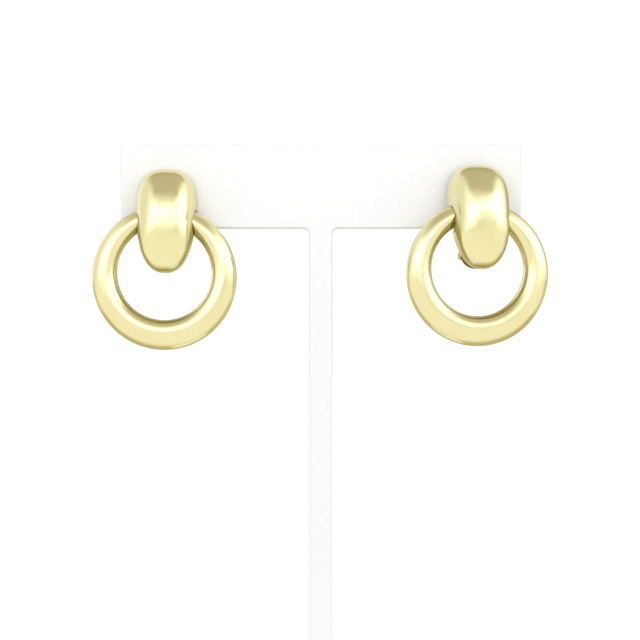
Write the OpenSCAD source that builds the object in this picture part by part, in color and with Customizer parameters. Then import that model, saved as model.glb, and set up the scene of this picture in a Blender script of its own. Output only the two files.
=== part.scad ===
// Pair of doorknocker earrings on a T-bar display stand.
// Millimetres, +Z up. The front of the stand faces -Y.
// The origin is on the underside of the base plate, under the middle of the board.

/* [Stand] */
// Width of the crossbar
bar_w = 83.8; // [80:0.2:110]
// Height of the crossbar
bar_h = 17.7; // [14:0.1:26]
// Thickness of the sheet that the T is cut from
board_t = 3; // [2:0.5:5]
// Width of the stem
stem_w = 4.9; // [4:0.1:12]
// Height of the whole stand
stand_h = 120; // [90:5:180]
// Radius in the two inner corners of the T
corner_r = 1.2; // [0.4:0.2:4]
// Width of the base plate
base_w = 54; // [46:2:90]
// Depth of the base plate
base_d = 46; // [36:2:80]
// Thickness of the base plate
base_t = 4; // [3:0.5:8]
// Radius of the base plate's corners
base_r = 5; // [1:1:12]
// Depth of the slot that the stem stands in
slot_depth = 3; // [1.5:0.5:3]

/* [Placing] */
// Distance of the left earring from the middle of the board
left_x = 32.1; // [20:0.1:36]
// Distance of the right earring from the middle of the board
right_x = 32.8; // [20:0.1:36]
// Top of the left dome below the top of the crossbar
left_drop = 5.4; // [4:0.2:7]
// Top of the right dome below the top of the crossbar
right_drop = 4.6; // [3:0.2:7]
// Turn of the left earring about the vertical
left_yaw = 0; // [-4:1:12]
// Turn of the right earring about the vertical
right_yaw = 9; // [-4:1:12]

/* [Dome] */
// Height of the dome
dome_h = 21.8; // [20:0.2:25]
// Largest width of the dome
dome_w = 13.1; // [12:0.1:14]
// Depth of the dome from its rim to its crest
dome_d = 9.4; // [9:0.2:11]
// Wall of the hollow dome
dome_wall = 0.8; // [0.6:0.1:1]
// Share of the width that the lower half loses
dome_taper = 0.11; // [0:0.01:0.14]
// How far the rim curls forward at the lower tip
rim_curl = 4.7; // [3.6:0.1:5]
// How soon the rim curls forward below the middle
curl_rate = 2.5; // [1.6:0.1:3]
// Squareness of the outline above the middle
top_square = 3; // [2.2:0.1:3.4]
// Squareness of the outline below the middle
tip_square = 2.3; // [2.1:0.1:2.6]
// Squareness of the profile from the side
side_square = 2.4; // [2.1:0.1:2.8]
// Squareness of the level sections above the middle
crown_section = 2.5; // [2.3:0.1:3.2]
// Squareness of the level sections below the middle
tip_section = 3.4; // [2.6:0.1:3.6]

/* [Ring] */
// Outer diameter of the ring
ring_od = 30; // [28:0.5:34]
// Diameter of the ring's hole
ring_hole = 19.6; // [19:0.2:22]
// How far the hole's centre lies above the ring's centre
ring_offset = 1; // [0.8:0.1:1.4]
// Depth of the ring at its lowest point, from front to back
ring_low_d = 4.6; // [4:0.2:6]
// Share by which the section's crest leans to the hole
ring_lean = 0.24; // [0:0.02:0.3]
// Sideways rest of the ring in its bail
ring_slip = 0.36; // [0:0.02:0.4]
// Ring's axis below the top of the dome
pivot_drop = 9.8; // [9:0.1:11]

/* [Bail] */
// Width of the bail inside the dome
bail_w = 2.4; // [1.6:0.2:3]
// Wall of the bail
bail_wall = 0.6; // [0.5:0.1:0.9]
// Gap between the ring and the bail all round
bail_gap = 0.2; // [0.16:0.02:0.3]
// Gap between the ring and the notches in the dome's flanks
notch_gap = 0.25; // [0.2:0.05:0.4]
// Swing of the ring towards the front, which the notches leave room for
swing_front = 18; // [10:1:24]
// Half-width of the dome that the notches leave whole
notch_x = 4.5; // [4.3:0.1:4.7]

/* [Clip] */
// Half of the bracket's width
bracket_half_w = 3.2; // [2.8:0.1:3.4]
// Thickness of the bracket's plate and of its lugs
bracket_t = 0.8; // [0.6:0.1:1]
// Hinge pin below the ring's axis
pin_drop = 9.1; // [8.8:0.1:9.4]
// Centre of the bracket's round foot above the hinge pin
foot_rise = 0.5; // [0.3:0.1:0.8]
// Hinge pin behind the dome's rim
pin_back = 2; // [1.8:0.1:2.4]
// Radius of the hinge pin
pin_r = 0.45; // [0.35:0.05:0.5]
// Radius of the lever's barrel
barrel_r = 0.85; // [0.75:0.05:0.95]
// Width of the lever's arm
arm_w = 3.2; // [2.4:0.2:4]
// Thickness of the lever's arm and paddle
lever_t = 0.9; // [0.7:0.1:1.2]
// Width of the paddle
paddle_w = 7; // [5:0.2:8]
// Height of the paddle
paddle_h = 12; // [10:0.5:14]
// Gap between each metal piece and the board, and round the hinge pin
fit_gap = 0.1; // [0.06:0.02:0.16]

/* [Hidden] */
$fn = 64;

gold = [0.86, 0.78, 0.45];
white = [0.95, 0.95, 0.94];
bite = 0.4; // how far soldered pieces run into each other, and cutters run past a face
rows = 22; // steps up a dome, from tip to top
cols = 22; // steps round a level section of a dome
ring_steps = 72; // sections round a ring
ring_sides = 18; // sides of a ring's section

// The ring hangs about its own X axis, which is the origin of an earring.
// There X is its width, -Y its front and Z up.
ring_r = (ring_od + ring_hole) / 4; // middle line of the tube
tube_h = (ring_od - ring_hole) / 4; // mean half-height of the tube
top_r = tube_h - ring_offset / 2; // the tube is round at its top, inside the bail
outer_z = top_r - ring_od / 2; // centre of the ring's outline
hole_z = -top_r - ring_hole / 2; // centre of the ring's hole
dome_mid_z = pivot_drop - dome_h / 2;
bore_r = top_r + bail_gap;
bail_r = bore_r + bail_wall;
rim_y = bail_r; // plane of the dome's rim, flush with the back of the bail
pin_y = rim_y + pin_back;
plate_y = pin_y - barrel_r - 2 * fit_gap - bracket_t; // front face of the bracket's plate
lug_x = bracket_half_w - bracket_t; // inner face of each lug

// Places on the stand, for an earring turned by yaw and hung by drop
bar_low = stand_h - bar_h;
function pivot_y(yaw) = -board_t / 2 - fit_gap - rim_y * cos(yaw) - dome_w / 2 * abs(sin(yaw));
function pivot_z(drop) = stand_h - drop - pivot_drop;
function lever_y(yaw) =
    (board_t / 2 + fit_gap - pivot_y(yaw) + paddle_w / 2 * abs(sin(yaw))) / cos(yaw);

// Form of the dome: u runs from -1 at its tip to 1 at its top
function round_off(u, square) = pow(max(0, 1 - pow(abs(u), square)), 1 / square);
blend_run = 0.16; // how gradually the upper half's form gives way to the lower half's
function low_share(u) = 1 / (1 + exp(u / blend_run));
function taper_at(u) = 1 - dome_taper * low_share(u);
function section_at(u) = crown_section + (tip_section - crown_section) * low_share(u);
function half_w(u) = dome_w / 2 * taper_at(u) * round_off(u, u > 0 ? top_square : tip_square);
function curl_at(u) = rim_curl * (1 - pow(1 + min(u, 0), curl_rate));
function depth_at(u) = (dome_d - curl_at(u)) * round_off(u, side_square);

// A point on level u of the dome, a from 0 at its left rim over the front to 180 at its right rim
function dome_point(u, a, inset) =
    let (
        thin = inset * round_off(u, 4),
        bend = 2 / section_at(u),
        w = half_w(u) - thin,
        d = depth_at(u) - thin
    )
    [
        -w * sign(cos(a)) * pow(abs(cos(a)), bend),
        rim_y - curl_at(u) - d * pow(sin(a), bend),
        dome_mid_z + u * (dome_h / 2 - inset)
    ];

// Levels bunch towards both ends, where the dome turns fastest
function level(i) = -cos(180 * i / rows);
function skin(inset) = [
    for (i = [1:rows - 1], j = [0:cols]) dome_point(level(i), 180 * j / cols, inset)
];
function pole(u, inset) = [0, rim_y - curl_at(u), dome_mid_z + u * (dome_h / 2 - inset)];

// The four corners of a patch as two triangles
function patch(a, b, c, d) = [[a, b, c], [a, c, d]];
function join_all(lists) = [for (l = lists, f = l) f];

// Hollow wall, open at the back: outer skin, inner skin and the rim between them
module dome_wall_shell() {
    n = cols + 1;
    m = (rows - 1) * n; // points of one skin
    tip = 2 * m; // four poles: outer tip, outer top, inner tip, inner top
    top_row = (rows - 2) * n;
    points = concat(
        skin(0), skin(dome_wall),
        [pole(-1, 0), pole(1, 0), pole(-1, dome_wall), pole(1, dome_wall)]
    );
    outer_faces = join_all([
        for (i = [0:rows - 3], j = [0:cols - 1])
            patch(i * n + j, (i + 1) * n + j, (i + 1) * n + j + 1, i * n + j + 1)
    ]);
    inner_faces = join_all([
        for (i = [0:rows - 3], j = [0:cols - 1])
            patch(m + i * n + j, m + i * n + j + 1, m + (i + 1) * n + j + 1, m + (i + 1) * n + j)
    ]);
    end_faces = join_all([
        for (j = [0:cols - 1]) [
            [tip, j, j + 1],
            [tip + 1, top_row + j + 1, top_row + j],
            [tip + 2, m + j + 1, m + j],
            [tip + 3, m + top_row + j, m + top_row + j + 1]
        ]
    ]);
    rim_faces = join_all([
        for (i = [0:rows - 3]) concat(
            patch(i * n, m + i * n, m + (i + 1) * n, (i + 1) * n),
            patch(i * n + cols, (i + 1) * n + cols, m + (i + 1) * n + cols, m + i * n + cols)
        )
    ]);
    rim_ends = concat(
        patch(tip, tip + 2, m, 0),
        patch(tip, cols, m + cols, tip + 2),
        patch(tip + 1, top_row, m + top_row, tip + 3),
        patch(tip + 1, tip + 3, m + top_row + cols, top_row + cols)
    );
    polyhedron(points, concat(outer_faces, inner_faces, end_faces, rim_faces, rim_ends));
}

// Side profile of the room that the ring's limb needs in a flank, in Y and Z
flank_a = asin(notch_x / ring_r);
limb_r = tube_depth(flank_a) + notch_gap;
near_x = notch_x - ring_slip; // the limb is highest here, and lowest at far_x
far_x = dome_w / 2 * (1 - dome_taper) + ring_slip;
limb_high = sqrt(pow(ring_od / 2, 2) - pow(near_x, 2)) + outer_z - limb_r + notch_gap;
limb_fall = (near_x + far_x) / 2 / ring_r; // how steeply the limb falls outwards
far_low = sqrt(pow(ring_hole / 2, 2) - pow(far_x, 2)) + hole_z;
limb_low = far_low + limb_fall * (far_x - notch_x) + limb_r - notch_gap;

module limb_slot() {
    translate([0, limb_high]) circle(limb_r);
    translate([0, limb_low]) circle(limb_r);
    translate([-limb_r, limb_low]) square([2 * limb_r, limb_high - limb_low]);
}

module notch_profile() {
    reach = limb_r - limb_low;
    rotate(-swing_front) limb_slot();
    rotate(-swing_front / 2) limb_slot();
    limb_slot();
    intersection() {
        circle(reach);
        polygon([
            [0, 0],
            [0, -2 * reach],
            [-2 * reach * sin(swing_front), -2 * reach * cos(swing_front)]
        ]);
    }
    translate([0, -reach]) square([rim_y + bite, reach + limb_high + limb_r]);
}

// Both flanks are cut from notch_x outwards, along the fall of the limb
module notches() {
    cut_w = dome_w / 2 - notch_x + bite;
    for (side = [-1, 1]) multmatrix([
        [side, 0, 0, side * notch_x],
        [0, 1, 0, 0],
        [-limb_fall, 0, 1, 0]
    ])
        rotate([90, 0, 90]) linear_extrude(cut_w) notch_profile();
}

// The loop that the ring hangs in, on a web from the inside of the crest
module bail() {
    web_end = rim_y - depth_at(-dome_mid_z / (dome_h / 2)) + dome_wall / 2;
    difference() {
        union() {
            translate([-bail_w / 2, 0, 0]) rotate([0, 90, 0]) cylinder(h = bail_w, r = bail_r);
            translate([-bail_w / 2, web_end, -bail_wall]) cube([bail_w, -web_end, 2 * bail_wall]);
        }
        translate([-bail_w, 0, 0]) rotate([0, 90, 0]) cylinder(h = 2 * bail_w, r = bore_r);
    }
}

// Plate with a round foot, two lugs that hold the hinge pin, and a post to the inside of the tip
module clip_bracket() {
    post_u = (-pin_drop - dome_mid_z) / (dome_h / 2);
    post_y = rim_y - curl_at(post_u) - depth_at(post_u) + dome_wall / 2;
    lug_h = 2 * barrel_r + bracket_t;
    difference() {
        union() {
            translate([0, plate_y + bracket_t, foot_rise - pin_drop]) rotate([90, 0, 0])
                linear_extrude(bracket_t) {
                    circle(bracket_half_w);
                    translate([-bracket_half_w, 0]) square([2 * bracket_half_w, lug_h]);
                }
            for (x = [-bracket_half_w, lug_x]) {
                translate([x, pin_y, -pin_drop]) rotate([0, 90, 0])
                    cylinder(h = bracket_t, r = barrel_r);
                translate([x, plate_y + bracket_t / 2, -pin_drop - barrel_r])
                    cube([bracket_t, pin_y - plate_y - bracket_t / 2, 2 * barrel_r]);
            }
            translate([-bracket_half_w / 2, post_y, -pin_drop - bracket_t])
                cube([bracket_half_w, plate_y + bracket_t / 2 - post_y, 2 * bracket_t]);
        }
        translate([-2 * bracket_half_w, pin_y, -pin_drop]) rotate([0, 90, 0])
            cylinder(h = 4 * bracket_half_w, r = pin_r + fit_gap);
    }
}

module dome() {
    color(gold) {
        difference() {
            dome_wall_shell();
            notches();
        }
        bail();
        clip_bracket();
    }
}

// Form of the ring: f is the angle from its top
function tube_height(f) = tube_h - ring_offset / 2 * cos(f);
function tube_depth(f) = (ring_low_d / 2 + top_r) / 2 - (ring_low_d / 2 - top_r) / 2 * cos(f);
function ring_point(f, t) =
    let (
        lean = ring_lean * (1 - cos(f)) / 2,
        out = ring_r + tube_height(f) * (cos(t) - lean * pow(sin(t), 2))
    )
    [out * sin(f), tube_depth(f) * sin(t), out * cos(f) - ring_r];

module ring() {
    n = ring_sides;
    points = [
        for (i = [0:ring_steps - 1], j = [0:n - 1]) ring_point(360 * i / ring_steps, 360 * j / n)
    ];
    faces = join_all([
        for (i = [0:ring_steps - 1], j = [0:n - 1])
            let (k = (i + 1) % ring_steps, l = (j + 1) % n)
            patch(i * n + j, i * n + l, k * n + l, k * n + j)
    ]);
    color(gold) translate([-ring_slip, 0, 0]) polyhedron(points, faces);
}

// Barrel with its pin, arm under the crossbar and paddle behind it, back_y is the paddle's front face
module clip_lever(back_y) {
    foot_z = -pin_drop + 2 * barrel_r + lever_t; // the arm meets the paddle's plane here
    paddle_r = paddle_w / 2;
    color(gold) {
        translate([0, pin_y, -pin_drop]) rotate([0, 90, 0]) {
            cylinder(h = 2 * lug_x - 2 * fit_gap, r = barrel_r, center = true);
            cylinder(h = 2 * bracket_half_w + 2 * fit_gap, r = pin_r, center = true);
        }
        translate([-arm_w / 2, 0, 0]) rotate([90, 0, 90]) linear_extrude(arm_w) polygon([
            [pin_y - barrel_r / 2, -pin_drop],
            [pin_y + barrel_r / 2, -pin_drop - barrel_r / 2],
            [back_y + lever_t, foot_z - lever_t],
            [back_y + lever_t, foot_z + paddle_r],
            [back_y, foot_z + paddle_r],
            [back_y, foot_z]
        ]);
        translate([0, back_y + lever_t, foot_z]) rotate([90, 0, 0]) linear_extrude(lever_t) {
            translate([0, paddle_r]) circle(paddle_r);
            translate([0, paddle_h - paddle_r]) circle(paddle_r);
            translate([-paddle_r, paddle_r]) square([paddle_w, paddle_h - paddle_w]);
        }
    }
}

// T cut from one sheet, with the stem's end standing in the base
module stand_board() {
    foot = base_t - slot_depth + fit_gap;
    color(white) translate([0, board_t / 2, 0]) rotate([90, 0, 0]) linear_extrude(board_t) {
        translate([-bar_w / 2, bar_low]) square([bar_w, bar_h]);
        translate([-stem_w / 2, foot]) square([stem_w, bar_low - foot + bite]);
        for (side = [-1, 1]) difference() {
            translate([side * (stem_w / 2 + corner_r / 2 - bite / 2), bar_low - corner_r / 2 + bite / 2])
                square(corner_r + bite, center = true);
            translate([side * (stem_w / 2 + corner_r), bar_low - corner_r]) circle(corner_r);
        }
    }
}

module stand_base() {
    w = base_w / 2 - base_r;
    d = base_d / 2 - base_r;
    color(white) difference() {
        linear_extrude(base_t) {
            for (x = [-w, w], y = [-d, d]) translate([x, y]) circle(base_r);
            square([base_w, 2 * d], center = true);
            square([2 * w, base_d], center = true);
        }
        translate([-stem_w / 2 - fit_gap, -board_t / 2 - fit_gap, base_t - slot_depth])
            cube([stem_w + 2 * fit_gap, board_t + 2 * fit_gap, slot_depth + bite]);
    }
}

module at_left() {
    translate([-left_x, pivot_y(left_yaw), pivot_z(left_drop)]) rotate(left_yaw) children();
}

module at_right() {
    translate([right_x, pivot_y(right_yaw), pivot_z(right_drop)]) rotate(right_yaw) children();
}

module left_dome() { at_left() dome(); }
module left_ring() { at_left() ring(); }
module left_clip() { at_left() clip_lever(lever_y(left_yaw)); }
module right_dome() { at_right() dome(); }
module right_ring() { at_right() ring(); }
module right_clip() { at_right() clip_lever(lever_y(right_yaw)); }

stand_board();
stand_base();
left_dome();
left_ring();
left_clip();
right_dome();
right_ring();
right_clip();
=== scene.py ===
import math
import bmesh
import bpy
from mathutils import Matrix, Vector


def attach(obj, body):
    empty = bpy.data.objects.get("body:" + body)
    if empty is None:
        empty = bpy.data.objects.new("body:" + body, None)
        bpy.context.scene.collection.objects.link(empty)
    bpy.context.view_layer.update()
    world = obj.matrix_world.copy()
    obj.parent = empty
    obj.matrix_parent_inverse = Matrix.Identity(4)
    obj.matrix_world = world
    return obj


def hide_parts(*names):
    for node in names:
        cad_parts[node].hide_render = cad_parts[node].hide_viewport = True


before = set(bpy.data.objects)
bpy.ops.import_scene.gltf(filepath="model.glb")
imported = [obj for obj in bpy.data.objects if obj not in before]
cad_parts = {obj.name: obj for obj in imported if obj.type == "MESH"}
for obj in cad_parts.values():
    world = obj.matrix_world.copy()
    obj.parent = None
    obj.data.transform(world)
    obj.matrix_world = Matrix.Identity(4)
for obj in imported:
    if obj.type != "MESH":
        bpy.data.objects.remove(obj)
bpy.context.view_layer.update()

# Sizes in millimetres, as in the part's source

MM = 0.001
BAR_W, BAR_H, BOARD_T = 83.8, 17.7, 3.0
STEM_W, STAND_H, CORNER_R = 4.9, 120.0, 1.2
BASE_W, BASE_D, BASE_T, BASE_R = 54.0, 46.0, 4.0, 5.0
SLOT_DEPTH, FIT_GAP = 3.0, 0.1

LEFT_X, RIGHT_X = -32.1, 32.8
LEFT_DROP, RIGHT_DROP = 5.4, 4.6
LEFT_YAW, RIGHT_YAW = 0.0, 9.0

DOME_H, DOME_W, DOME_D, DOME_WALL = 21.8, 13.1, 9.4, 0.8
DOME_TAPER, BLEND_RUN, RIM_CURL, CURL_RATE = 0.11, 0.16, 4.7, 2.5
TOP_SQUARE, TIP_SQUARE, SIDE_SQUARE = 3.0, 2.3, 2.4
CROWN_SECTION, TIP_SECTION = 2.5, 3.4
RIM_ROUND = 0.28

RING_OD, RING_HOLE, RING_OFFSET = 30.0, 19.6, 1.0
RING_LOW_D, RING_LEAN, RING_SLIP = 4.6, 0.24, 0.36
PIVOT_DROP = 9.8

BAIL_W, BAIL_WALL, BAIL_GAP = 2.4, 0.6, 0.2
NOTCH_GAP, SWING_FRONT, NOTCH_X = 0.25, math.radians(18), 4.5

BRACKET_HALF_W, BRACKET_T = 3.2, 0.8
PIN_DROP, FOOT_RISE, PIN_BACK = 9.1, 0.5, 2.0
PIN_R, BARREL_R, ARM_W = 0.45, 0.85, 3.2
LEVER_T, PADDLE_W, PADDLE_H = 0.9, 7.0, 12.0

RING_R = (RING_OD + RING_HOLE) / 4
TUBE_H = (RING_OD - RING_HOLE) / 4
TOP_R = TUBE_H - RING_OFFSET / 2
OUTER_Z = TOP_R - RING_OD / 2
HOLE_Z = -TOP_R - RING_HOLE / 2
DOME_MID_Z = PIVOT_DROP - DOME_H / 2
BORE_R = TOP_R + BAIL_GAP
BAIL_R = BORE_R + BAIL_WALL
RIM_Y = BAIL_R
PIN_Y = RIM_Y + PIN_BACK
PLATE_Y = PIN_Y - BARREL_R - 2 * FIT_GAP - BRACKET_T
LUG_X = BRACKET_HALF_W - BRACKET_T
BAR_LOW = STAND_H - BAR_H

LIMB_R = (
    (RING_LOW_D / 2 + TOP_R) / 2
    - (RING_LOW_D / 2 - TOP_R) / 2 * math.sqrt(1 - (NOTCH_X / RING_R) ** 2)
    + NOTCH_GAP
)
NEAR_X = NOTCH_X - RING_SLIP
FAR_X = DOME_W / 2 * (1 - DOME_TAPER) + RING_SLIP
LIMB_HIGH = math.sqrt((RING_OD / 2) ** 2 - NEAR_X**2) + OUTER_Z - LIMB_R + NOTCH_GAP
LIMB_FALL = (NEAR_X + FAR_X) / 2 / RING_R
LIMB_LOW = (
    math.sqrt((RING_HOLE / 2) ** 2 - FAR_X**2)
    + HOLE_Z
    + LIMB_FALL * (FAR_X - NOTCH_X)
    + LIMB_R
    - NOTCH_GAP
)
NOTCH_REACH = LIMB_R - LIMB_LOW


def pivot_y(yaw):
    turn = math.radians(yaw)
    return -BOARD_T / 2 - FIT_GAP - RIM_Y * math.cos(turn) - DOME_W / 2 * abs(math.sin(turn))


def lever_y(yaw):
    turn = math.radians(yaw)
    clear = BOARD_T / 2 + FIT_GAP - pivot_y(yaw) + PADDLE_W / 2 * abs(math.sin(turn))
    return clear / math.cos(turn)


ON_STAND = Matrix.Scale(MM, 4)


def earring_place(x, yaw, drop):
    """The matrix that takes an earring from millimetres about its ring's axis to the stand."""
    spot = Vector((x, pivot_y(yaw), STAND_H - drop - PIVOT_DROP))
    turn = Matrix.Rotation(math.radians(yaw), 4, "Z")
    return ON_STAND @ Matrix.Translation(spot) @ turn


EARRINGS = {
    "left": (earring_place(LEFT_X, LEFT_YAW, LEFT_DROP), lever_y(LEFT_YAW)),
    "right": (earring_place(RIGHT_X, RIGHT_YAW, RIGHT_DROP), lever_y(RIGHT_YAW)),
}


# Numbers worked out by nodes


class Reading:
    """A number in a node tree, from which Math nodes work out further ones."""

    def __init__(self, tree, socket):
        self.tree = tree
        self.socket = socket

    def work(self, operation, *others):
        node = self.tree.nodes.new("ShaderNodeMath")
        node.operation = operation
        for place, value in enumerate((self, *others)):
            if isinstance(value, Reading):
                self.tree.links.new(value.socket, node.inputs[place])
            else:
                node.inputs[place].default_value = value
        return Reading(self.tree, node.outputs[0])

    def __add__(self, other):
        return self.work("ADD", other)

    def __sub__(self, other):
        return self.work("SUBTRACT", other)

    def __rsub__(self, other):
        return self.work("MULTIPLY_ADD", -1.0, other)

    def __mul__(self, other):
        return self.work("MULTIPLY", other)

    def __truediv__(self, other):
        return self.work("DIVIDE", other)

    def __rtruediv__(self, other):
        return self.power(-1.0) * other

    def __neg__(self):
        return self.work("MULTIPLY", -1.0)

    __radd__ = __add__
    __rmul__ = __mul__

    def power(self, other):
        return self.work("POWER", other)

    def root(self):
        return self.work("SQRT")

    def least(self, other):
        return self.work("MINIMUM", other)

    def most(self, other):
        return self.work("MAXIMUM", other)

    def above(self, other):
        return self.work("GREATER_THAN", other)

    def share(self, low, high):
        """0 at low, 1 at high, and held there outside."""
        return ((self - low) / (high - low)).most(0.0).least(1.0)

    def eased(self, low, high):
        node = self.tree.nodes.new("ShaderNodeMapRange")
        node.interpolation_type = "SMOOTHSTEP"
        self.tree.links.new(self.socket, node.inputs["Value"])
        node.inputs["From Min"].default_value = low
        node.inputs["From Max"].default_value = high
        return Reading(self.tree, node.outputs["Result"])


def window(value, *edges):
    """1 inside a soft-edged window, 0 outside: where it starts, is full, is last full and ends."""
    return value.eased(edges[0], edges[1]) * (1.0 - value.eased(edges[2], edges[3]))


def mixed(low, high, share):
    return low + (high - low) * share


# Shapes made by Geometry Nodes

SEAM_WELD = 0.0004


class ShapeTree:
    """A Geometry Nodes tree with named sizes, which lays a grid into a shape."""

    def __init__(self, name, sizes):
        self.tree = bpy.data.node_groups.new(name, "GeometryNodeTree")
        self.sizes = sizes
        face = self.tree.interface
        for label in sizes:
            face.new_socket(name=label, in_out="INPUT", socket_type="NodeSocketFloat")
        face.new_socket(name="Material", in_out="INPUT", socket_type="NodeSocketMaterial")
        face.new_socket(name="Geometry", in_out="OUTPUT", socket_type="NodeSocketGeometry")
        self.entry = self.tree.nodes.new("NodeGroupInput")

    def size(self, label):
        return Reading(self.tree, self.entry.outputs[label])

    def grid(self, columns, rows):
        """A flat grid and its two running shares, both from 0 to 1."""
        flat = self.tree.nodes.new("GeometryNodeMeshGrid")
        flat.inputs["Vertices X"].default_value = columns + 1
        flat.inputs["Vertices Y"].default_value = rows + 1
        place = self.tree.nodes.new("GeometryNodeInputPosition")
        parts = self.tree.nodes.new("ShaderNodeSeparateXYZ")
        self.tree.links.new(place.outputs[0], parts.inputs[0])
        along = Reading(self.tree, parts.outputs["X"]) + 0.5
        across = Reading(self.tree, parts.outputs["Y"]) + 0.5
        return flat.outputs["Mesh"], along, across

    def lay(self, mesh, x, y, z, flip):
        """Moves the grid's points, welds its seams and hands the shape out with its material."""
        nodes, links = self.tree.nodes, self.tree.links
        spot = nodes.new("ShaderNodeCombineXYZ")
        for place, value in enumerate((x, y, z)):
            links.new(value.socket, spot.inputs[place])
        moved = nodes.new("GeometryNodeSetPosition")
        links.new(mesh, moved.inputs["Geometry"])
        links.new(spot.outputs[0], moved.inputs["Position"])
        welded = nodes.new("GeometryNodeMergeByDistance")
        welded.inputs["Distance"].default_value = SEAM_WELD
        links.new(moved.outputs[0], welded.inputs["Geometry"])
        last = welded
        if flip:
            last = nodes.new("GeometryNodeFlipFaces")
            links.new(welded.outputs[0], last.inputs["Mesh"])
        smooth = nodes.new("GeometryNodeSetShadeSmooth")
        links.new(last.outputs[0], smooth.inputs["Geometry"])
        single = nodes.new("GeometryNodeRealizeInstances")
        links.new(smooth.outputs[0], single.inputs["Geometry"])
        coated = nodes.new("GeometryNodeSetMaterial")
        links.new(single.outputs[0], coated.inputs["Geometry"])
        links.new(self.entry.outputs["Material"], coated.inputs["Material"])
        out = nodes.new("NodeGroupOutput")
        links.new(coated.outputs[0], out.inputs["Geometry"])

    def cast(self, name, material, place):
        """One plain mesh object from the tree, set in place."""
        blank = bpy.data.objects.new(name + "_blank", bpy.data.meshes.new(name + "_blank"))
        bpy.context.collection.objects.link(blank)
        nodes = blank.modifiers.new("shape", "NODES")
        nodes.node_group = self.tree
        values = dict(self.sizes, Material=material)
        for item in self.tree.interface.items_tree:
            if item.in_out == "INPUT":
                nodes[item.identifier] = values[item.name]
        ready = blank.evaluated_get(bpy.context.evaluated_depsgraph_get())
        mesh = bpy.data.meshes.new_from_object(ready)
        blank.modifiers.remove(nodes)
        bpy.data.objects.remove(blank)
        mesh.name = name
        return shown(name, mesh, place)


def shown(name, mesh, place):
    """An object at the origin, with its place in its mesh."""
    mesh.transform(place)
    piece = bpy.data.objects.new(name, mesh)
    bpy.context.collection.objects.link(piece)
    return piece


HOOP_COLUMNS, HOOP_ROWS = 288, 72


def hoop_tree():
    """Graduated round hoop: thin in the bail, heavy at the bottom."""
    shape = ShapeTree(
        "graduated_hoop",
        {
            "Middle Radius": RING_R,
            "Tube Half Height": TUBE_H,
            "Hole Offset": RING_OFFSET,
            "Top Radius": TOP_R,
            "Lowest Depth": RING_LOW_D,
            "Crest Lean": RING_LEAN,
            "Side Slip": RING_SLIP,
        },
    )
    mesh, along, across = shape.grid(HOOP_COLUMNS, HOOP_ROWS)
    from_top = along * math.tau
    round_tube = across * math.tau
    middle = shape.size("Middle Radius")
    top = shape.size("Top Radius")
    low = shape.size("Lowest Depth") / 2
    fall = from_top.work("COSINE")
    height = shape.size("Tube Half Height") - shape.size("Hole Offset") / 2 * fall
    depth = (low + top) / 2 - (low - top) / 2 * fall
    lean = shape.size("Crest Lean") * (1.0 - fall) / 2
    across_sine = round_tube.work("SINE")
    out = middle + height * (round_tube.work("COSINE") - lean * across_sine * across_sine)
    x = out * from_top.work("SINE") - shape.size("Side Slip")
    y = depth * across_sine
    z = out * fall - middle
    shape.lay(mesh, x, y, z, flip=True)
    return shape


OUTER_COLUMNS, EDGE_COLUMNS, INNER_COLUMNS, DOME_ROWS = 112, 8, 60, 340
HELD_TURN = 0.56  # from here to the crest the columns stay in place, whatever a notch cuts away
FLANK_COLUMNS = 0.46  # share of the columns between the rim and there
NOTCH_LIFT = 0.12  # a notch is cut higher by this much, the distance between two rows of the grid
NOTCH_LIFT_RISE = 0.8  # the lift grows from the ring's axis up to this height
THIN_DEPTH = 0.001  # a section is never taken as shallower than this


def notch_front(z, rim):
    """How far forward a flank is cut at height z: the swept outline of the ring's limb."""
    sine, cosine = math.sin(SWING_FRONT), math.cos(SWING_FRONT)
    high_y, high_z = LIMB_HIGH * sine, LIMB_HIGH * cosine
    low_y, low_z = LIMB_LOW * sine, LIMB_LOW * cosine
    cut = rim
    for centre_y, centre_z in ((0.0, LIMB_HIGH), (high_y, high_z), (low_y, low_z)):
        up = z - centre_z
        left_over = LIMB_R**2 - up * up
        arc = centre_y - left_over.most(0.0).root()
        cut = mixed(cut, cut.least(arc), left_over.above(0.0))
    top_y, top_z = high_y - LIMB_R * cosine, high_z + LIMB_R * sine
    foot_y, foot_z = low_y - LIMB_R * cosine, low_z + LIMB_R * sine
    side = foot_y + (z - foot_z) * ((top_y - foot_y) / (top_z - foot_z))
    cut = mixed(cut, cut.least(side), z.above(foot_z) * (top_z - z).above(0.0))
    sweep = -(NOTCH_REACH**2 - z * z).most(0.0).root()
    swept = (-NOTCH_REACH * cosine - z).above(0.0) * (z + NOTCH_REACH).above(0.0)
    return mixed(cut, cut.least(sweep), swept)


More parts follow.
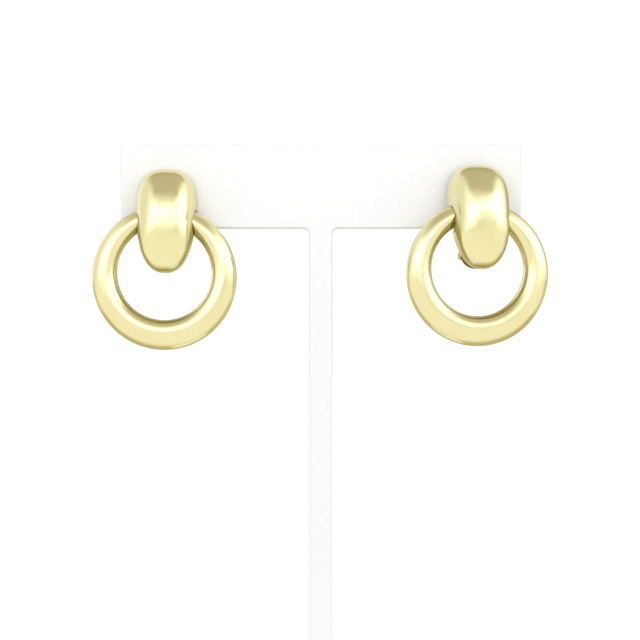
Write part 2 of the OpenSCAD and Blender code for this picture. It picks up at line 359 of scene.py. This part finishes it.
def dome_tree():
    """Hollow bombe shell with a rounded rim and a notch in each flank."""
    shape = ShapeTree(
        "bombe_dome",
        {
            "Height": DOME_H,
            "Half Width": DOME_W / 2,
            "Depth": DOME_D,
            "Wall": DOME_WALL,
            "Taper": DOME_TAPER,
            "Rim Curl": RIM_CURL,
            "Rim Plane": RIM_Y,
            "Rim Round": RIM_ROUND,
            "Crown Squareness": CROWN_SECTION,
            "Tip Squareness": TIP_SECTION,
            "Middle Height": DOME_MID_Z,
        },
    )
    columns = OUTER_COLUMNS + INNER_COLUMNS + 2 * EDGE_COLUMNS
    mesh, along, across = shape.grid(columns, DOME_ROWS)
    edge_in = OUTER_COLUMNS / columns
    inner_from = (OUTER_COLUMNS + EDGE_COLUMNS) / columns
    inner_to = (columns - EDGE_COLUMNS) / columns
    # over runs 0 to 1 across the outer skin and back across the inner one, into through the wall
    over = along.share(0.0, edge_in) - along.share(inner_from, inner_to)
    into = along.share(edge_in, inner_from) - along.share(inner_to, 1.0)

    wall = shape.size("Wall")
    u = -(across * math.pi).work("COSINE")
    low_share = 1.0 / ((u / BLEND_RUN).work("EXPONENT") + 1.0)
    square = mixed(shape.size("Crown Squareness"), shape.size("Tip Squareness"), low_share)
    far = u.work("ABSOLUTE")
    outline_square = TIP_SQUARE + (TOP_SQUARE - TIP_SQUARE) * u.above(0.0)
    outline = (1.0 - far.power(outline_square)).most(0.0).power(1.0 / outline_square)
    profile = (1.0 - far.power(SIDE_SQUARE)).most(0.0).power(1 / SIDE_SQUARE)
    thin = wall * into * (1.0 - far.power(4.0)).most(0.0).power(0.25)
    taper = 1.0 - shape.size("Taper") * low_share
    curl = shape.size("Rim Curl") * (1.0 - (u.least(0.0) + 1.0).power(CURL_RATE))
    half_w = shape.size("Half Width") * taper * outline - thin
    depth = (shape.size("Depth") - curl) * profile - thin
    z = shape.size("Middle Height") + u * (shape.size("Height") / 2 - wall * into)

    rim = shape.size("Rim Plane") - curl
    bulge = into * 2.0 - 1.0
    setback = shape.size("Rim Round") * (1.0 - (1.0 - bulge * bulge).most(0.0).root())
    fallen = z + LIMB_FALL * (half_w - NOTCH_X) - NOTCH_LIFT * z.share(0.0, NOTCH_LIFT_RISE)
    edge = (rim - (notch_front(fallen, rim) - setback)) / depth.most(THIN_DEPTH)
    edge = edge.most(0.0).least(1.0)
    flank = (1.0 - edge.power(square)).most(0.0).power(1.0 / square)
    start = (edge / (flank + edge)).least(HELD_TURN)

    inward = 1.0 - (over * 2.0 - 1.0).work("ABSOLUTE")
    turn = mixed(start, HELD_TURN, inward.share(0.0, FLANK_COLUMNS))
    turn = turn + (1.0 - HELD_TURN) * inward.share(FLANK_COLUMNS, 1.0)
    span = (turn.power(square) + (1.0 - turn).power(square)).power(1.0 / square)
    side = (over - 0.5).work("SIGN")
    x = side * half_w * (1.0 - turn) / span
    y = rim - depth * turn / span
    shape.lay(mesh, x, y, z, flip=False)
    return shape


# Plain pieces, from drawn outlines

AXES = {
    "X": lambda a, b, t: (t, a, b),
    "Y": lambda a, b, t: (a, t, b),
    "Z": lambda a, b, t: (a, b, t),
}


def run_out(outline, low, high, axis):
    """A mesh of one closed outline, run from low to high along an axis."""
    work = bmesh.new()
    first = [work.verts.new(AXES[axis](a, b, low)) for a, b in outline]
    last = [work.verts.new(AXES[axis](a, b, high)) for a, b in outline]
    work.faces.new(first)
    work.faces.new(last)
    for i, corner in enumerate(first):
        k = (i + 1) % len(first)
        work.faces.new((corner, first[k], last[k], last[i]))
    bmesh.ops.recalc_face_normals(work, faces=work.faces)
    mesh = bpy.data.meshes.new("run_out")
    work.to_mesh(mesh)
    work.free()
    return mesh


def arc(centre, radius, start, end, steps):
    """Points on an arc, from one angle in degrees to another."""
    turns = [math.radians(start + (end - start) * i / steps) for i in range(steps + 1)]
    return [(centre[0] + radius * math.cos(t), centre[1] + radius * math.sin(t)) for t in turns]


def circle(centre, radius, steps=48):
    return arc(centre, radius, 0, 360, steps)[:-1]


def box(low, high):
    corners = [(low[0], low[1]), (high[0], low[1]), (high[0], high[1]), (low[0], high[1])]
    return run_out(corners, low[2], high[2], "Z")


def fused(name, meshes, cuts=()):
    """One mesh from pieces that are soldered together, less what is cut away."""
    body = bpy.data.objects.new(name, meshes[0])
    bpy.context.collection.objects.link(body)
    tools = []
    for operation, others in (("UNION", meshes[1:]), ("DIFFERENCE", cuts)):
        for other in others:
            tool = bpy.data.objects.new(name + "_tool", other)
            bpy.context.collection.objects.link(tool)
            tools.append(tool)
            step = body.modifiers.new("fuse", "BOOLEAN")
            step.operation = operation
            step.solver = "EXACT"
            step.object = tool
    mesh = bpy.data.meshes.new_from_object(body.evaluated_get(bpy.context.evaluated_depsgraph_get()))
    for done in [body, *tools]:
        bpy.data.objects.remove(done)
    mesh.name = name
    return mesh


EDGE_ANGLE = math.radians(32)


def finished(name, mesh, place, material, edge_round):
    """The piece in its place, with its edges rounded."""
    piece = shown(name, mesh, place)
    mesh.materials.clear()
    mesh.materials.append(material)
    mesh.shade_smooth()
    edges = piece.modifiers.new("edges", "BEVEL")
    edges.width = edge_round * MM
    edges.segments = 3
    edges.limit_method = "ANGLE"
    edges.angle_limit = EDGE_ANGLE
    flats = piece.modifiers.new("flats", "WEIGHTED_NORMAL")
    flats.keep_sharp = True
    return piece


def bail_mesh():
    """The loop that the ring hangs in, on a web from the inside of the crest."""
    crest = RIM_Y - DOME_D * (1 - abs(DOME_MID_Z / (DOME_H / 2)) ** SIDE_SQUARE) ** (1 / SIDE_SQUARE)
    half = BAIL_W / 2
    web = box((-half, crest + DOME_WALL / 2, -BAIL_WALL), (half, -BORE_R - BAIL_WALL / 2, BAIL_WALL))
    sleeve = run_out(circle((0, 0), BAIL_R, 72), -half, half, "X")
    bore = run_out(circle((0, 0), BORE_R, 72), -BAIL_W, BAIL_W, "X")
    return fused("bail", [sleeve, web], [bore])


def bracket_mesh():
    """Plate with a round foot, two lugs for the hinge pin, and a post to the inside of the tip."""
    foot_z = FOOT_RISE - PIN_DROP
    top_z = foot_z + 2 * BARREL_R + BRACKET_T
    half = BRACKET_HALF_W
    outline = [(half, top_z), (-half, top_z), *arc((0, foot_z), half, 180, 360, 40)]
    plate = run_out(outline, PLATE_Y, PLATE_Y + BRACKET_T, "Y")
    lug = [(PLATE_Y + BRACKET_T / 2, -PIN_DROP + BARREL_R), (PLATE_Y + BRACKET_T / 2, -PIN_DROP - BARREL_R)]
    lug += arc((PIN_Y, -PIN_DROP), BARREL_R, -90, 90, 20)
    lugs = [run_out(lug, x, x + BRACKET_T, "X") for x in (-half, LUG_X)]
    u = (-PIN_DROP - DOME_MID_Z) / (DOME_H / 2)
    curl = RIM_CURL * (1 - (1 + u) ** CURL_RATE)
    inner_skin = RIM_Y - curl - (DOME_D - curl) * (1 - abs(u) ** SIDE_SQUARE) ** (1 / SIDE_SQUARE)
    post = box(
        (-half / 2, inner_skin + DOME_WALL / 2, -PIN_DROP - BRACKET_T),
        (half / 2, PLATE_Y + BRACKET_T / 2, -PIN_DROP + BRACKET_T),
    )
    hole = run_out(circle((PIN_Y, -PIN_DROP), PIN_R + FIT_GAP, 24), -2 * half, 2 * half, "X")
    return fused("bracket", [plate, post, *lugs], [hole])


def lever_mesh(back_y):
    """Barrel with its pin, arm under the crossbar and paddle behind it."""
    foot_z = -PIN_DROP + 2 * BARREL_R + LEVER_T
    half = LUG_X - FIT_GAP
    barrel = run_out(circle((PIN_Y, -PIN_DROP), BARREL_R, 40), -half, half, "X")
    pin_end = BRACKET_HALF_W + FIT_GAP
    pin = run_out(circle((PIN_Y, -PIN_DROP), PIN_R, 24), -pin_end, pin_end, "X")
    arm = [
        (PIN_Y - BARREL_R / 2, -PIN_DROP),
        (PIN_Y + BARREL_R / 2, -PIN_DROP - BARREL_R / 2),
        (back_y + LEVER_T, foot_z - LEVER_T),
        (back_y + LEVER_T, foot_z + PADDLE_W / 2),
        (back_y, foot_z + PADDLE_W / 2),
        (back_y, foot_z),
    ]
    arm = run_out(arm, -ARM_W / 2, ARM_W / 2, "X")
    low, high = foot_z + PADDLE_W / 2, foot_z + PADDLE_H - PADDLE_W / 2
    outline = arc((0, low), PADDLE_W / 2, 180, 360, 40) + arc((0, high), PADDLE_W / 2, 0, 180, 40)
    paddle = run_out(outline, back_y, back_y + LEVER_T, "Y")
    return fused("lever", [paddle, arm, barrel, pin])


def board_mesh():
    """T cut from one sheet."""
    half, stem = BAR_W / 2, STEM_W / 2
    foot = BASE_T - SLOT_DEPTH + FIT_GAP
    right = arc((stem + CORNER_R, BAR_LOW - CORNER_R), CORNER_R, 180, 90, 12)
    left = [(-x, z) for x, z in reversed(right)]
    outline = [(-stem, foot), (stem, foot), *right, (half, BAR_LOW), (half, STAND_H)]
    outline += [(-half, STAND_H), (-half, BAR_LOW), *left]
    sheet = run_out(outline, -BOARD_T / 2, BOARD_T / 2, "Y")
    cut = sheet.attributes.new("cut_edge", "FLOAT", "FACE")
    for face, value in zip(sheet.polygons, cut.data):
        value.value = 1.0 - abs(face.normal.y)
    return sheet


def base_mesh():
    """Plate with round corners and a slot for the stem."""
    w, d = BASE_W / 2 - BASE_R, BASE_D / 2 - BASE_R
    outline = []
    for quarter, (x, y) in enumerate(((w, d), (-w, d), (-w, -d), (w, -d))):
        outline += arc((x, y), BASE_R, 90 * quarter, 90 * quarter + 90, 16)
    plate = run_out(outline, 0, BASE_T, "Z")
    half = STEM_W / 2 + FIT_GAP
    deep = BOARD_T / 2 + FIT_GAP
    slot = box((-half, -deep, BASE_T - SLOT_DEPTH), (half, deep, 2 * BASE_T))
    return fused("base", [plate], [slot])


# Finishes


class Finish:
    """A material or a node group for one, with short ways to add its nodes."""

    def __init__(self, tree):
        self.tree = tree

    def node(self, kind, **inputs):
        made = self.tree.nodes.new(kind)
        for label, value in inputs.items():
            self.feed(made.inputs[label.replace("_", " ")], value)
        return made

    def feed(self, socket, value):
        if isinstance(value, bpy.types.NodeSocket):
            self.tree.links.new(value, socket)
        else:
            socket.default_value = value


def finish_group(name, inputs, outputs):
    """An effect that several materials share, with named inputs and outputs."""
    tree = bpy.data.node_groups.new(name, "ShaderNodeTree")
    kinds = {"float": "NodeSocketFloat", "colour": "NodeSocketColor", "vector": "NodeSocketVector"}
    for label, kind, value in inputs:
        made = tree.interface.new_socket(name=label, in_out="INPUT", socket_type=kinds[kind])
        made.default_value = value
    for label, kind in outputs:
        tree.interface.new_socket(name=label, in_out="OUTPUT", socket_type=kinds[kind])
    entry = tree.nodes.new("NodeGroupInput")
    leave = tree.nodes.new("NodeGroupOutput")
    return Finish(tree), entry.outputs, leave.inputs


def cast_unevenness():
    """Slow hollows and swells left in a polished casting."""
    work, given, out = finish_group(
        "cast_unevenness",
        [("Spacing", "float", 400.0)],
        [("Height", "float")],
    )
    where = work.node("ShaderNodeTexCoord").outputs["Object"]
    swell = work.node(
        "ShaderNodeTexNoise", Vector=where, Scale=given["Spacing"], Detail=1.5, Roughness=0.4
    )
    work.feed(out["Height"], swell.outputs[0])
    return work.tree


def polishing_lines():
    """Hair-fine lines left by the polishing mop, in patches."""
    work, given, out = finish_group(
        "polishing_lines",
        [("Fineness", "float", 9000.0), ("Along", "vector", (1.0, 1.0, 0.06)), ("Patches", "float", 260.0)],
        [("Height", "float")],
    )
    where = work.node("ShaderNodeTexCoord").outputs["Object"]
    laid = work.node("ShaderNodeMapping", Vector=where, Scale=given["Along"])
    lines = work.node("ShaderNodeTexNoise", Vector=laid.outputs[0], Scale=given["Fineness"], Detail=3.0)
    patches = work.node("ShaderNodeTexNoise", Vector=where, Scale=given["Patches"], Detail=2.0)
    worn = work.node("ShaderNodeMapRange", Value=patches.outputs[0])
    worn.inputs["From Min"].default_value = 0.42
    worn.inputs["From Max"].default_value = 0.68
    both = work.node("ShaderNodeMath")
    both.operation = "MULTIPLY"
    work.feed(both.inputs[0], lines.outputs[0])
    work.feed(both.inputs[1], worn.outputs[0])
    work.feed(out["Height"], both.outputs[0])
    return work.tree


def plate_tone():
    """Thin electroplate: its colour and sheen drift a little from place to place."""
    work, given, out = finish_group(
        "plate_tone",
        [
            ("Spacing", "float", 150.0),
            ("Pale", "colour", (0.9, 0.85, 0.5, 1.0)),
            ("Warm", "colour", (0.8, 0.7, 0.35, 1.0)),
            ("Smooth", "float", 0.07),
            ("Hazy", "float", 0.14),
        ],
        [("Colour", "colour"), ("Roughness", "float")],
    )
    where = work.node("ShaderNodeTexCoord").outputs["Object"]
    drift = work.node("ShaderNodeTexNoise", Vector=where, Scale=given["Spacing"], Detail=3.0)
    spread = work.node("ShaderNodeMapRange", Value=drift.outputs[0])
    spread.inputs["From Min"].default_value = 0.3
    spread.inputs["From Max"].default_value = 0.7
    colour = work.node("ShaderNodeMix")
    colour.data_type = "RGBA"
    work.feed(colour.inputs[0], spread.outputs[0])
    work.feed(colour.inputs[6], given["Pale"])
    work.feed(colour.inputs[7], given["Warm"])
    haze = work.node("ShaderNodeTexNoise", Vector=where, Scale=420.0, Detail=4.0, Roughness=0.6)
    sheen = work.node("ShaderNodeMapRange", Value=haze.outputs[0])
    sheen.inputs["From Min"].default_value = 0.35
    sheen.inputs["From Max"].default_value = 0.75
    work.feed(sheen.inputs["To Min"], given["Smooth"])
    work.feed(sheen.inputs["To Max"], given["Hazy"])
    work.feed(out["Colour"], colour.outputs[2])
    work.feed(out["Roughness"], sheen.outputs[0])
    return work.tree


UNEVENNESS = cast_unevenness()
LINES = polishing_lines()
TONE = plate_tone()


def placed(work, tree, **inputs):
    made = work.tree.nodes.new("ShaderNodeGroup")
    made.node_tree = tree
    for label, value in inputs.items():
        work.feed(made.inputs[label], value)
    return made.outputs


def new_material(name):
    material = bpy.data.materials.new(name)
    material.use_nodes = True
    work = Finish(material.node_tree)
    shader = material.node_tree.nodes["Principled BSDF"]
    return material, work, shader


GOLD_DRIFT, GOLD_SWELL = 160.0, 330.0


def gold_finish(name, pale, warm, smooth, hazy, line_height, swell_height):
    """Gold-tone plate on a polished casting."""
    material, work, shader = new_material(name)
    tone = placed(work, TONE, Spacing=GOLD_DRIFT, Pale=pale, Warm=warm, Smooth=smooth, Hazy=hazy)
    swell = placed(work, UNEVENNESS, Spacing=GOLD_SWELL)
    lines = placed(work, LINES)
    low = work.node("ShaderNodeBump", Height=swell["Height"], Distance=swell_height)
    fine = work.node("ShaderNodeBump", Height=lines["Height"], Distance=line_height, Normal=low.outputs[0])
    work.feed(shader.inputs["Base Color"], tone["Colour"])
    work.feed(shader.inputs["Roughness"], tone["Roughness"])
    work.feed(shader.inputs["Normal"], fine.outputs[0])
    shader.inputs["Metallic"].default_value = 1.0
    return material


POLISHED_GOLD = gold_finish(
    "polished_gold",
    pale=(0.91, 0.86, 0.50, 1),
    warm=(0.89, 0.82, 0.44, 1),
    smooth=0.16,
    hazy=0.25,
    line_height=0.0012 * MM,
    swell_height=0.012 * MM,
)
CLIP_GOLD = gold_finish(
    "clip_gold",
    pale=(0.84, 0.77, 0.46, 1),
    warm=(0.77, 0.68, 0.36, 1),
    smooth=0.16,
    hazy=0.26,
    line_height=0.003 * MM,
    swell_height=0.01 * MM,
)
PLASTIC_PALE, PLASTIC_WARM = (0.895, 0.896, 0.898, 1), (0.885, 0.886, 0.888, 1)
# greyer tone of the cut edges: partly the sawn edge's own tone, partly painted shade along the edges
EDGE_TONE_AND_SHADE = (0.845, 0.847, 0.85, 1)
PLASTIC_DRIFT, PLASTIC_RIPPLE, PLASTIC_GRAIN = 60.0, 90.0, 6000.0
RIPPLE_HEIGHT, GRAIN_HEIGHT = 0.008 * MM, 0.001 * MM


def sheet_plastic():
    """Opaque white acrylic sheet: glossy, very slightly rippled, with a dusty bloom in places, and greyer
    cut edges: partly the sawn edge's own tone, partly painted shade along the edges.
    """
    material, work, shader = new_material("white_plastic")
    ripple = placed(work, UNEVENNESS, Spacing=PLASTIC_RIPPLE)
    tone = placed(
        work, TONE, Spacing=PLASTIC_DRIFT, Pale=PLASTIC_PALE, Warm=PLASTIC_WARM, Smooth=0.26, Hazy=0.31
    )
    # painted shade: the cut edges are made greyer than the face, partly their sawn tone and partly the
    # shade that falls along them
    sawn = work.node("ShaderNodeAttribute")
    sawn.attribute_name = "cut_edge"
    greyer = work.node("ShaderNodeMix")
    greyer.data_type = "RGBA"
    work.feed(greyer.inputs[0], sawn.outputs["Fac"])
    work.feed(greyer.inputs[6], tone["Colour"])
    work.feed(greyer.inputs[7], EDGE_TONE_AND_SHADE)
    grain = work.node("ShaderNodeTexNoise", Scale=PLASTIC_GRAIN, Detail=2.0)
    work.feed(grain.inputs["Vector"], work.node("ShaderNodeTexCoord").outputs["Object"])
    low = work.node("ShaderNodeBump", Height=ripple["Height"], Distance=RIPPLE_HEIGHT)
    fine = work.node(
        "ShaderNodeBump", Height=grain.outputs[0], Distance=GRAIN_HEIGHT, Normal=low.outputs[0]
    )
    work.feed(shader.inputs["Base Color"], greyer.outputs[2])
    work.feed(shader.inputs["Roughness"], tone["Roughness"])
    work.feed(shader.inputs["Normal"], fine.outputs[0])
    return material


WHITE_PLASTIC = sheet_plastic()


# The pieces

SOLDERED_ROUND, LEVER_ROUND, BOARD_ROUND, BASE_ROUND = 0.12, 0.14, 0.45, 0.6


def kept(piece, body, node=None):
    """The piece rides on its body and, where a CAD node is given, stands for it, which is hidden."""
    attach(piece, body)
    if node:
        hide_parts(node)


dome_shape = dome_tree()
hoop_shape = hoop_tree()
for side, (place, back_y) in EARRINGS.items():
    shell = dome_shape.cast(side + "_dome_shell", POLISHED_GOLD, place)
    kept(shell, "stand", side + "_dome")
    bail = finished(side + "_bail", bail_mesh(), place, POLISHED_GOLD, SOLDERED_ROUND)
    kept(bail, "stand")
    bracket = finished(side + "_clip_bracket", bracket_mesh(), place, CLIP_GOLD, SOLDERED_ROUND)
    kept(bracket, "stand")
    lever = finished(side + "_clip_lever", lever_mesh(back_y), place, CLIP_GOLD, LEVER_ROUND)
    kept(lever, "stand", side + "_clip")
    hoop = hoop_shape.cast(side + "_hoop", POLISHED_GOLD, place)
    kept(hoop, side + "_ring", side + "_ring")

board = finished("display_board", board_mesh(), ON_STAND, WHITE_PLASTIC, BOARD_ROUND)
kept(board, "stand", "stand_board")
base = finished("display_foot", base_mesh(), ON_STAND, WHITE_PLASTIC, BASE_ROUND)
kept(base, "stand", "stand_base")


# Studio

SENSOR_W, CAMERA_FAR, FRAME_W = 36.0, 400.0, 132.9
CAMERA_X, CAMERA_Z, RING_FRONT = -0.15, 83.12, -4.4

# Windows in the light tent, in degrees: round from the front, up from level, and over from the front
CARD_ROUND, CARD_UP = (-52, -42, 10, 20), (0, 5, 13, 24)
NEAR_CARD_ROUND, NEAR_CARD_UP = (12, 20, 26, 36), (4, 9, 15, 26)
HIGH_CARD_ROUND, HIGH_CARD_UP = (-52, -42, -26, -16), (8, 14, 40, 54)
LIT_WALL_ROUND, LIT_WALL_TOP = (26, 34, 88, 104), (26, 40)
WALL_FOOT, WALL_FOOT_STEP, WALL_FOOT_ROUND = 2.0, 5.0, (56, 72)
FAR_WALL_ROUND = (-140, -110, -75, -60)
LOW_SHADE_ROUND, LOW_SHADE_TOP = (6, 14, 38, 48), (2, 8)
CEILING_OVER, OVERHEAD_OVER = (16, 48, 125, 142), (104, 132, 172, 179)

# How far to the right, to the left or back the darker cloths fade, as shares of a direction
CEILING_RIGHT, CEILING_LEFT, OVERHEAD_SIDES = (0.5, 0.76), (0.45, 0.74), (0.28, 0.55)
BEHIND_BACK, BEHIND_RIGHT = (0.3, 0.75), (-0.55, -0.15)

TENT_LIGHT, CARD_LIGHT, NEAR_CARD_LIGHT, HIGH_CARD_LIGHT = 1.08, 0.95, 0.8, 0.55
LIT_WALL_LIGHT, FAR_WALL_DIM, LOW_SHADE_LIGHT, BACKDROP_LIGHT = 1.0, 0.2, 0.84, 1.05
WHITE_CLOTH = (1.0, 1.0, 1.0)
BEHIND_TINT = (0.46, 0.43, 0.3, 1)
CEILING_TINT = (0.58, 0.53, 0.45, 1)
OVERHEAD_TINT = (0.46, 0.41, 0.27, 1)
MIRRORED, MIRRORED_SHARE = (0.26, 0.24, 0.13, 1), 0.75

SOFTBOX_W, SOFTBOX_POWER = 0.16, 0.068
SOFTBOX_SPOT, SOFTBOX_AIM = (0.1, -0.22, 0.165), (0.02, 0, 0.1)

# The floor, in metres, with painted shade that only the metal sees: a dimmed strip before the stand, a
# darker rear and a dark patch below it
FLOOR_TINT = (1.0, 0.97, 0.93)
# painted shade: the floor behind the stand is darker in reflections
REAR_SHADE_TINT = (0.7, 0.66, 0.46, 1)
# painted shade: the dark olive patch below the stand, seen only in reflections
UNDER_SHADE_TINT = (0.57, 0.51, 0.31, 1)
FLOOR_BOUNCE = (0.76, 0.76, 0.76, 1)
# painted shade: the far strip before the stand is dimmed in reflections, for the darker camera side
STRIP_DIM, STRIP_START, STRIP_SPREAD = 0.2, (0.6, 1.1), (0.3, 0.7)
REAR_START = (-0.02, 0.05)
UNDER_ALONG, UNDER_SIDES = (-0.05, -0.005, 0.25, 0.4), (0.17, 0.27)
FLOOR_R, FLOOR_T, FLOOR_GAP = 2500, 4, 0.02


def studio_colour(tree, tint, strength):
    """A tint at a strength that is worked out by nodes."""
    node = tree.nodes.new("ShaderNodeCombineXYZ")
    for place, share in enumerate(tint):
        tree.links.new((strength * share).socket, node.inputs[place])
    return node.outputs[0]


def studio_mix(tree, from_colour, to_colour, share):
    """A colour that goes over to another by a share that is worked out by nodes."""
    node = tree.nodes.new("ShaderNodeMix")
    node.data_type = "RGBA"
    tree.links.new(share.socket, node.inputs[0])
    tree.links.new(from_colour, node.inputs[6])
    node.inputs[7].default_value = to_colour
    return node.outputs[2]


def twice_mirrored(tree, ray):
    """How much of MIRRORED a ray sees that comes from one gold face by way of another."""
    return (Reading(tree, ray.outputs["Glossy Depth"]) - 1.0).most(0.0).least(MIRRORED_SHARE)


def set_up_camera():
    """The camera, level and square to the board, before the rings."""
    lens = bpy.data.cameras.new("camera")
    lens.sensor_width = SENSOR_W
    lens.lens = SENSOR_W * CAMERA_FAR / FRAME_W
    camera = bpy.data.objects.new("camera", lens)
    camera.location = (CAMERA_X * MM, (RING_FRONT - CAMERA_FAR) * MM, CAMERA_Z * MM)
    camera.rotation_euler = (math.radians(90), 0, 0)
    bpy.context.scene.collection.objects.link(camera)
    bpy.context.scene.camera = camera


def tent_walls(tree, ray):
    """The colour of the light tent in each direction."""
    seen = tree.nodes.new("ShaderNodeTexCoord")
    parts = tree.nodes.new("ShaderNodeSeparateXYZ")
    tree.links.new(seen.outputs["Generated"], parts.inputs[0])
    x, y, z = (Reading(tree, parts.outputs[i]) for i in range(3))
    up = z.work("ARCSINE") * (180 / math.pi)
    turn = x.work("ARCTAN2", -y) * (180 / math.pi)
    over = z.work("ARCTAN2", -y) * (180 / math.pi)

    card = window(turn, *CARD_ROUND) * window(up, *CARD_UP)
    near_card = window(turn, *NEAR_CARD_ROUND) * window(up, *NEAR_CARD_UP)
    high_card = window(turn, *HIGH_CARD_ROUND) * window(up, *HIGH_CARD_UP)
    wall_foot = up - WALL_FOOT - WALL_FOOT_STEP * turn.eased(*WALL_FOOT_ROUND)
    lit_wall = window(turn, *LIT_WALL_ROUND) * wall_foot.eased(-1, 1) * (1.0 - up.eased(*LIT_WALL_TOP))
    far_wall = window(turn, *FAR_WALL_ROUND)
    low_shade = window(turn, *LOW_SHADE_ROUND) * (1.0 - up.eased(*LOW_SHADE_TOP))
    light = TENT_LIGHT + CARD_LIGHT * card + NEAR_CARD_LIGHT * near_card + HIGH_CARD_LIGHT * high_card
    light = light + LIT_WALL_LIGHT * lit_wall - FAR_WALL_DIM * far_wall
    light = mixed(light, LOW_SHADE_LIGHT, low_shade)

    behind = y.eased(*BEHIND_BACK) * x.eased(*BEHIND_RIGHT)
    ceiling = window(over, *CEILING_OVER) * (1.0 - x.eased(*CEILING_RIGHT))
    ceiling = ceiling * (1.0 - (-x).eased(*CEILING_LEFT))
    overhead = window(over, *OVERHEAD_OVER) * (1.0 - x.work("ABSOLUTE").eased(*OVERHEAD_SIDES))
    walls = studio_colour(tree, WHITE_CLOTH, light)
    walls = studio_mix(tree, walls, BEHIND_TINT, behind)
    walls = studio_mix(tree, walls, CEILING_TINT, ceiling)
    walls = studio_mix(tree, walls, OVERHEAD_TINT, overhead)
    return studio_mix(tree, walls, MIRRORED, twice_mirrored(tree, ray))


def hang_light_tent():
    """A tent of pale cloths that the metal mirrors, and a plain white backdrop for all else."""
    world = bpy.data.worlds.new("light_tent")
    bpy.context.scene.world = world
    world.use_nodes = True
    tree = world.node_tree
    ray = tree.nodes.new("ShaderNodeLightPath")
    tent = tree.nodes["Background"]
    tree.links.new(tent_walls(tree, ray), tent.inputs["Color"])
    backdrop = tree.nodes.new("ShaderNodeBackground")
    backdrop.inputs["Color"].default_value = (1, 1, 1, 1)
    backdrop.inputs["Strength"].default_value = BACKDROP_LIGHT
    either = tree.nodes.new("ShaderNodeMixShader")
    plain = Reading(tree, ray.outputs["Is Camera Ray"]).most(Reading(tree, ray.outputs["Is Diffuse Ray"]))
    tree.links.new(plain.socket, either.inputs[0])
    tree.links.new(tent.outputs[0], either.inputs[1])
    tree.links.new(backdrop.outputs[0], either.inputs[2])
    tree.links.new(either.outputs[0], tree.nodes["World Output"].inputs["Surface"])


def place_softboxes():
    """A soft lamp before each earring, which throws the shadows on the board."""
    for side in (-1, 1):
        lamp = bpy.data.lights.new("side_softbox", "AREA")
        lamp.shape = "RECTANGLE"
        lamp.size, lamp.size_y = SOFTBOX_W, SOFTBOX_W
        lamp.energy = SOFTBOX_POWER
        holder = bpy.data.objects.new("side_softbox", lamp)
        holder.location = (side * SOFTBOX_SPOT[0], *SOFTBOX_SPOT[1:])
        aim = Vector((side * SOFTBOX_AIM[0], *SOFTBOX_AIM[1:])) - holder.location
        holder.rotation_mode = "QUATERNION"
        holder.rotation_quaternion = aim.to_track_quat("-Z", "Y")
        holder.visible_glossy = False
        bpy.context.scene.collection.objects.link(holder)


def floor_finish():
    """White to the eye; to the metal it shows painted shade laid out about the stand: a dimmed strip before
    it, a darker rear and a dark patch below it.
    """
    material, work, shader = new_material("studio_floor")
    tree = material.node_tree
    shader.inputs["Base Color"].default_value = (0.9, 0.9, 0.9, 1)
    shader.inputs["Roughness"].default_value = 0.9
    shader.inputs["Emission Color"].default_value = (1, 1, 1, 1)
    shader.inputs["Emission Strength"].default_value = 0.5
    spot = work.node("ShaderNodeSeparateXYZ", Vector=work.node("ShaderNodeTexCoord").outputs["Object"])
    across, along = (Reading(tree, spot.outputs[i]) for i in range(2))
    ray = work.node("ShaderNodeLightPath")
    spread = (across / along).work("ABSOLUTE")
    # painted shade on the far strip before the stand, which the metal mirrors
    camera_shade_strip = (-along).eased(*STRIP_START) * (1.0 - spread.eased(*STRIP_SPREAD))
    # painted shade under the stand, which the metal mirrors
    under = window(along, *UNDER_ALONG) * (1.0 - across.work("ABSOLUTE").eased(*UNDER_SIDES))
    lit = studio_colour(tree, FLOOR_TINT, 1.0 - STRIP_DIM * camera_shade_strip)
    # painted shade behind the stand, seen only in reflections
    lit = studio_mix(tree, lit, REAR_SHADE_TINT, along.eased(*REAR_START))
    lit = studio_mix(tree, lit, UNDER_SHADE_TINT, under)
    lit = studio_mix(tree, lit, MIRRORED, twice_mirrored(tree, ray))
    lit = studio_mix(tree, lit, FLOOR_BOUNCE, Reading(tree, ray.outputs["Is Diffuse Ray"]))
    bounce = work.node("ShaderNodeEmission", Color=lit)
    either = work.node("ShaderNodeMixShader")
    work.feed(either.inputs[0], ray.outputs["Is Camera Ray"])
    work.feed(either.inputs[1], bounce.outputs[0])
    work.feed(either.inputs[2], shader.outputs[0])
    work.feed(tree.nodes["Material Output"].inputs["Surface"], either.outputs[0])
    return material


def lay_floor():
    mesh = run_out(circle((0, 0), FLOOR_R, 96), -FLOOR_T, -FLOOR_GAP, "Z")
    floor = shown("studio_floor", mesh, ON_STAND)
    mesh.materials.append(floor_finish())


bpy.context.scene.view_settings.view_transform = "Standard"
bpy.context.scene.view_settings.look = "None"
set_up_camera()
hang_light_tent()
place_softboxes()
lay_floor()
